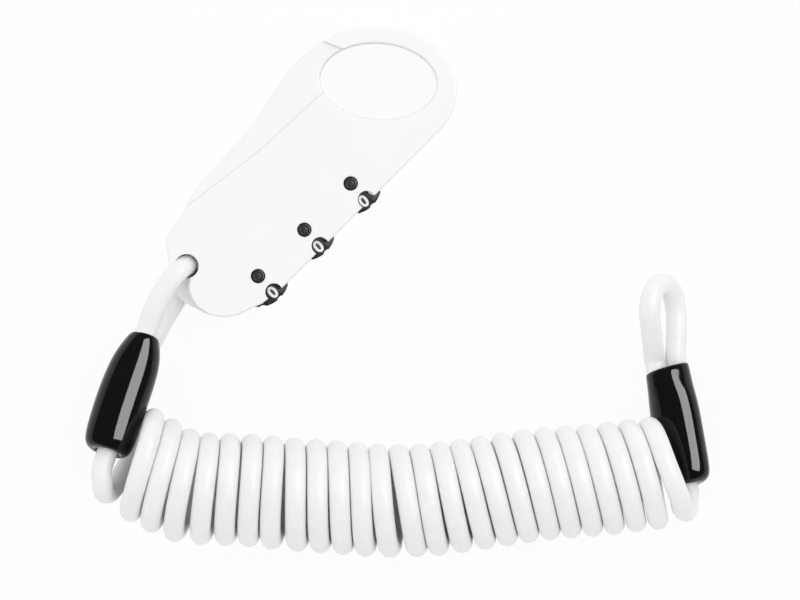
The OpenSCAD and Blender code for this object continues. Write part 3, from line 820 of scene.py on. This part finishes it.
class CABLELOCK_OT_shells(bpy.types.Operator):
    """The front and rear shells of the case, with their pockets, windows and bores."""
    bl_idname = "cablelock.shells"
    bl_label = "Case shells"

    def execute(self, context):
        sizes = context.scene.lock_case
        white = moulded_white("case_white_moulded", sizes.white)
        loop = outline(case_corners())
        edge, drop, seam, flare = sizes.edge / MM, sizes.drop / MM, sizes.seam / MM, sizes.chamfer / MM
        front = pull_rings("front_case", shell_rings(loop, PARTING, CASE_TOP, edge, drop, seam))
        shared_cuts(front)
        drill(front, on_case(EYE_FRONT[0]), EYE_FRONT[1], PARTING - 1, CASE_TOP, 0, EYE_EDGE)
        wide = [on_case(p) for p in outline(CHANNEL)]
        narrow = [on_case(p) for p in moved_in(outline(CHANNEL), CHANNEL_FLARE)]
        combine(front, pull_rings("channel", [ring(narrow, PARTING + WEB / 2),
                                              ring(narrow, CASE_TOP - CHANNEL_FLARE_DEPTH),
                                              ring(wide, CASE_TOP + 0.05), ring(wide, CASE_TOP + 1)]))
        for y in DIAL_Y:
            drill(front, (DIAL_X, y), DIAL_ROOM, PARTING - 1, FRONT_INNER)
            drill(front, (DIAL_X, y), JOURNAL_HOLE, FRONT_INNER - 1, CASE_TOP, 0, flare)
            drill(front, (DIAL_X + NUMBER_R, y), WINDOW_R, FRONT_INNER - 1, CASE_TOP, 0, 0.5 * flare)
            mill(front, box_loop(*DETENT_ROOM, (DIAL_X, y), DETENT_TURN), *DETENT_Z)
        finish_piece(front, white, 30, "case", ("front_shell",))

        rear = pull_rings("rear_case", shell_rings(loop, PARTING, 0.0, edge, drop, seam))
        shared_cuts(rear)
        drill(rear, on_case(EYE_REAR[0]), EYE_REAR[1], 0, PARTING + 1, EYE_EDGE)
        combine(rear, pull_rings("channel", [ring(wide, -1), ring(wide, -0.05), ring(narrow, CHANNEL_FLARE_DEPTH),
                                             ring(narrow, PARTING - WEB / 2)]))
        for place in SCREWS:
            drill(rear, place, SCREW_HEAD[0], 0, SCREW_HEAD[1], flare)
        for y in DIAL_Y:
            drill(rear, (DIAL_X, y), CAM_ROOM, CAM_FLOOR, PARTING + 1)
            drill(rear, (DIAL_X, y), AXLE_HOLE, *AXLE_Z)
            mill(rear, box_loop(FINGER_X, (y - FINGER_HALF, y + FINGER_HALF)), BAR_FLOOR, PARTING + 1)
        for room in (BAR_ROOM, NOSE_ROOM):
            mill(rear, box_loop(*room), BAR_FLOOR, PARTING + 1)
        for y in SPRING_Y:
            mill(rear, box_loop(SPRING_X, (y - SPRING_HALF, y + SPRING_HALF)), BAR_FLOOR, PARTING + 1)
        finish_piece(rear, white, 30, "case", ("rear_shell",))
        return {"FINISHED"}


class CABLELOCK_OT_gate(bpy.types.Operator):
    """The gate that closes the hook, with its boss on the pin."""
    bl_idname = "cablelock.gate"
    bl_label = "Gate"

    def execute(self, context):
        sizes = context.scene.lock_case
        edge = sizes.gate_edge / MM
        loop = outline(gate_corners())
        low, high = GATE_Z
        half = [(edge * d, edge * h) for d, h in quarter(6)]
        steps = [(edge + 0.06, low)] + [(d, low + h) for d, h in half[::-1]]
        steps += [(d, high - h) for d, h in half] + [(edge + 0.06, high)]
        gate = pull_rings("gate_arm", [ring(moved_in(loop, d), z) for d, z in steps])
        mill(gate, beyond_hook(0.05, -1), -1, CASE_TOP + 1)
        for name, place, r, ends in (("boss", PIVOT, BOSS_R, (low + 0.02, high - 0.02)), ("nose", NOSE, NOSE_R, BAR_Z)):
            combine(gate, pull_rings(name, [circle(place, r, z) for z in ends]), "UNION")
        drill(gate, PIVOT, GATE_HOLE, 0, CASE_TOP)
        white = moulded_white("gate_white_moulded", toned(sizes.white, 0.995))
        finish_piece(gate, white, 30, "gate", ("gate",))
        return {"FINISHED"}


def dial_loop(r, count=10, depth=0.28, cutter=1.2):
    """Rim of a dial with its grip notches."""
    reach = r - depth + cutter
    half = math.degrees(math.acos((r * r + reach * reach - cutter * cutter) / (2 * r * reach)))
    points = []
    for i in range(count):
        mid = 360 * i / count
        edge = on_circle((0, 0), r, half)
        swing = math.degrees(math.atan2(edge[1], edge[0] - reach))
        for k in range(9):
            notch = on_circle((reach, 0), cutter, -swing + (2 * swing - 360) * k / 8)
            points.append(turned(notch, mid))
        for k in range(1, 8):
            points.append(on_circle((0, 0), r, mid + half + (360 / count - 2 * half) * k / 8))
    return points


def at_radius(loop, r):
    """The loop's points brought to a circle."""
    return [(r * x / math.hypot(x, y), r * y / math.hypot(x, y)) for x, y in loop]


# A dial's bore, its hub below, and its journal in front: radius and depth below the top, which is under the face
AXLE_BORE = 1.25
HUB_R, HUB_FOOT = 2.6, 7.2
JOURNAL_DROP = 0.45
JOURNAL = ((1.4, 0.28), (1.33, 0.12), (1.18, 0.02), (0.98, 0), (0.93, 0.1), (0.72, 0.12), (0.66, 0.04), (0.4, 0))


class CABLELOCK_OT_dials(bpy.types.Operator):
    """Three dials with grip notches, a hub below and a small domed journal in front."""
    bl_idname = "cablelock.dials"
    bl_label = "Dials"

    def execute(self, context):
        sizes = context.scene.lock_dials
        black = matt_black("dial_matt", sizes.black)
        r, bevel = sizes.radius / MM, sizes.bevel / MM
        rim = dial_loop(r)
        low, high = DIAL_Z
        top = CASE_TOP - JOURNAL_DROP
        hub = [(AXLE_BORE, 10.5), (AXLE_BORE, HUB_FOOT), (HUB_R, HUB_FOOT), (HUB_R, low)]
        edge = [(bevel, low), (0.3 * bevel, low + 0.4 * bevel), (0, low + bevel),
                (0, high - bevel), (0.3 * bevel, high - 0.4 * bevel), (bevel, high)]
        journal = [(JOURNAL[0][0], high)] + [(size, top - down) for size, down in JOURNAL]
        rings = [(at_radius(rim, size), z) for size, z in hub]
        for cut, z in edge:
            rings.append(([(x * (1 - cut / math.hypot(x, y)), y * (1 - cut / math.hypot(x, y))) for x, y in rim], z))
        rings += [(at_radius(rim, size), z) for size, z in journal]
        for i, y in enumerate(DIAL_Y):
            places = [ring([(DIAL_X + p[0], y + p[1]) for p in loop], z) for loop, z in rings]
            dial = pull_rings(f"number_dial_{i + 1}", places)
            finish_piece(dial, black, 35, f"dial_{i + 1}", (f"dial_{i + 1}",))
        return {"FINISHED"}


# Turn of each dial's zero from the middle of its window, and from one number to the next, in degrees
ZERO_TURN = (-8.6, -4.9, -2.5)
NUMBER_STEP = 36
# How far the numbers lie inside the window's middle, and how much a narrow one may be widened
NUMBER_IN = 0.15
WIDEST = 1.25


def number_outline(k):
    """One number as a mesh, one unit high or so."""
    let_go()
    bpy.ops.object.text_add()
    text = bpy.context.object
    text.data.body = str(k)
    text.data.align_x, text.data.align_y = "CENTER", "CENTER"
    text.data.size = 1.0
    text.data.offset = 0.03
    text.data.resolution_u = 6
    text.data.extrude = 0.02
    bpy.ops.object.convert(target="MESH")
    return bpy.context.object


class CABLELOCK_OT_numbers(bpy.types.Operator):
    """The painted numbers 0 to 9 round each dial."""
    bl_idname = "cablelock.numbers"
    bl_label = "Dial numbers"

    def execute(self, context):
        sizes = context.scene.lock_dials
        paint = number_paint("number_paint", sizes.paint)
        for i, y in enumerate(DIAL_Y):
            made = []
            for k in range(10):
                number = number_outline(k)
                xs = [v.co.x for v in number.data.vertices]
                ys = [v.co.y for v in number.data.vertices]
                tall = sizes.number_height / MM / (max(ys) - min(ys))
                wide = min(sizes.number_width / MM / (max(xs) - min(xs)), WIDEST * tall)
                mid = ((max(xs) + min(xs)) / 2, (max(ys) + min(ys)) / 2)
                angle = ZERO_TURN[i] - NUMBER_STEP * k
                for v in number.data.vertices:
                    p = turned(((v.co.y - mid[1]) * tall + NUMBER_R - NUMBER_IN, -(v.co.x - mid[0]) * wide), angle)
                    v.co = Vector((DIAL_X + p[0], y + p[1], DIAL_Z[1] + 0.01 + 1.2 * v.co.z)) * MM
                made.append(number)
            let_go()
            for number in made:
                number.select_set(True)
            context.view_layer.objects.active = made[0]
            bpy.ops.object.join()
            numbers = context.object
            numbers.name = numbers.data.name = f"dial_numbers_{i + 1}"
            bpy.ops.object.mode_set(mode="EDIT")
            bpy.ops.mesh.select_all(action="SELECT")
            bpy.ops.mesh.remove_doubles(threshold=1e-6)
            bpy.ops.mesh.normals_make_consistent(inside=False)
            bpy.ops.object.mode_set(mode="OBJECT")
            finish_piece(numbers, paint, 30, f"dial_{i + 1}")
        return {"FINISHED"}


def bar_spring(name, turns=5, steps=14, wire=0.2 * MM):
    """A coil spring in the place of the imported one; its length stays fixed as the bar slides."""
    low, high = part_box(name)
    middle = (low + high) / 2
    turn_r, run = (high.y - low.y) / 2 - wire, high.x - low.x - 2 * wire
    rings = []
    for i in range(turns * steps + 1):
        out = Vector((0, math.cos(math.tau * i / steps), math.sin(math.tau * i / steps)))
        at = Vector((low.x + wire + run * i / (turns * steps), middle.y, middle.z)) + turn_r * out
        rings.append([at + wire * (out * math.cos(b) + Vector((math.sin(b), 0, 0))) for b in spokes(10)])
    return pull_rings(name.replace("bar", "return"), rings)


class CABLELOCK_OT_fittings(bpy.types.Operator):
    """The two return springs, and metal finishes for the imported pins, screws, springs and cams."""
    bl_idname = "cablelock.fittings"
    bl_label = "Metal fittings"

    def execute(self, context):
        steel = drawn_metal("steel_drawn", (0.58, 0.58, 0.6), 0.24)
        spring = drawn_metal("spring_steel", (0.5, 0.5, 0.51), 0.2, (300, 300, 300))
        brass = drawn_metal("cam_brass_cut", (0.72, 0.55, 0.26), 0.28)
        for name in ("bar_spring_1", "bar_spring_2"):
            piece = finish_piece(bar_spring(name), spring, 50, "case", (name,))
            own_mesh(piece)
        kinds = {"gate_pin": steel, "lock_bar": steel, "case_screws": steel, "detent_spring": spring,
                 "dial_axle": steel, "code_cam": brass}
        for name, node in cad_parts.items():
            found = [m for start, m in kinds.items() if name.startswith(start)]
            if found:
                node.data.materials.clear()
                node.data.materials.append(found[0])
        return {"FINISHED"}


def soft_lamp(name, place, aim, size, power, across):
    """A rectangular lamp at a place, facing aim, with its first size along the direction across."""
    bpy.ops.object.light_add(type="AREA", location=place)
    lamp = bpy.context.object
    lamp.name = lamp.data.name = name
    lamp.data.shape = "RECTANGLE"
    lamp.data.size, lamp.data.size_y = size
    lamp.data.energy = power
    back = (Vector(place) - Vector(aim)).normalized()
    side = (across - back * across.dot(back)).normalized()
    lamp.rotation_euler = Matrix((side, back.cross(side), back)).transposed().to_euler()
    return lamp


# Middle of the picture on the floor, the picture's right and up, and how much of the floor's look is its own glow
LOOK_AT = (0.0327, -0.0053)
RIGHT, ABOVE = Vector((0.7071, 0.7071, 0)), Vector((-0.7071, 0.7071, 0))
FLOOR_GLOW = 0.93


class CABLELOCK_OT_stage(bpy.types.Operator):
    """Camera, floor, lamps and the plain white surroundings."""
    bl_idname = "cablelock.stage"
    bl_label = "Stage"

    def execute(self, context):
        settings = context.scene.lock_stage
        scene = context.scene
        let_go()
        bpy.ops.object.camera_add(location=(*LOOK_AT, settings.height), rotation=(0, 0, math.radians(LAY_TURN)))
        camera = context.object
        camera.name = "camera"
        camera.data.lens = settings.lens
        camera.data.sensor_width = 36.0
        camera.data.clip_start, camera.data.clip_end = 0.01, 20.0
        scene.camera = camera
        scene.view_settings.view_transform = "Standard"

        let_go()
        bpy.ops.mesh.primitive_plane_add(size=6.0, location=(0, 0, -0.00002))
        floor = context.object
        floor.name = "floor"
        g = material("floor_white")
        rays = [g.add("ShaderNodeLightPath", output=f"Is {kind} Ray") for kind in ("Camera", "Glossy", "Transmission")]
        seen = rays[0] + rays[1] + rays[2]
        speck = g.grain(g.places(), 60, 3)
        shade = g.blend(speck, toned(settings.floor, 0.99), settings.floor)
        paper = g.add("ShaderNodeBsdfDiffuse", {}, {"Color": shade})
        glow = g.add("ShaderNodeEmission", {}, {"Color": (1.0, 1.0, 1.0), "Strength": 1.0})
        mixed = g.add("ShaderNodeMixShader", {}, {0: (seen * FLOOR_GLOW).clamp(0, FLOOR_GLOW), 1: paper, 2: glow})
        g.add("ShaderNodeOutputMaterial", {}, {"Surface": mixed})
        floor.data.materials.append(g.owner)

        middle = Vector((*LOOK_AT, 0.01))
        key = soft_lamp("key", middle + 0.2 * RIGHT + 0.1 * ABOVE + Vector((0, 0, 1.0)), middle, (0.5, 0.7),
                        settings.key, RIGHT)
        key.visible_glossy = False
        streak = soft_lamp("streak", middle + 0.45 * RIGHT + 0.25 * ABOVE + Vector((0, 0, 0.6)), middle, (0.64, 0.7),
                           settings.streak, RIGHT)
        streak.visible_diffuse = False

        world = bpy.data.worlds.new("surroundings")
        scene.world = world
        w = Graph(world)
        way = w.add("ShaderNodeTexCoord", output=0)
        lean = w.add("ShaderNodeVectorMath", {"operation": "DOT_PRODUCT"}, {0: way, 1: tuple(ABOVE)}, output=1)
        gloss = w.add("ShaderNodeLightPath", output="Is Glossy Ray")
        level = settings.fill * (1 + 0.18 * lean) * (1 - 0.88 * gloss)
        glow = w.add("ShaderNodeBackground", {}, {"Color": (1.0, 1.0, 1.0), "Strength": level})
        w.add("ShaderNodeOutputWorld", {}, {"Surface": glow})
        return {"FINISHED"}


STEPS = (CABLELOCK_OT_stage, CABLELOCK_OT_cable, CABLELOCK_OT_sleeves, CABLELOCK_OT_shells, CABLELOCK_OT_gate,
         CABLELOCK_OT_dials, CABLELOCK_OT_numbers, CABLELOCK_OT_fittings)


class CABLELOCK_PT_panel(bpy.types.Panel):
    """Lists the lock's settings and pieces."""
    bl_idname = "CABLELOCK_PT_panel"
    bl_label = "Cable lock"
    bl_space_type = "VIEW_3D"
    bl_region_type = "UI"
    bl_category = "Cable lock"

    def draw(self, context):
        for name in SETTINGS:
            group = getattr(context.scene, name)
            box = self.layout.box()
            for prop in group.bl_rna.properties:
                if prop.identifier not in {"rna_type", "name"}:
                    box.prop(group, prop.identifier)
        for step in STEPS:
            self.layout.operator(step.bl_idname)


SETTINGS = {"lock_case": CaseSettings, "lock_dials": DialSettings, "lock_cable": CableSettings,
            "lock_stage": StageSettings}
CLASSES = (*SETTINGS.values(), *STEPS, CABLELOCK_PT_panel)


def register():
    for cls in CLASSES:
        bpy.utils.register_class(cls)
    for name, group in SETTINGS.items():
        setattr(bpy.types.Scene, name, bpy.props.PointerProperty(type=group))


def unregister():
    for name in SETTINGS:
        delattr(bpy.types.Scene, name)
    for cls in reversed(CLASSES):
        bpy.utils.unregister_class(cls)


def main():
    register()
    for step in STEPS:
        group, name = step.bl_idname.split(".")
        getattr(getattr(bpy.ops, group), name)()
    let_go()
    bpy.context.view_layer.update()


if __name__ == "__main__":
    main()
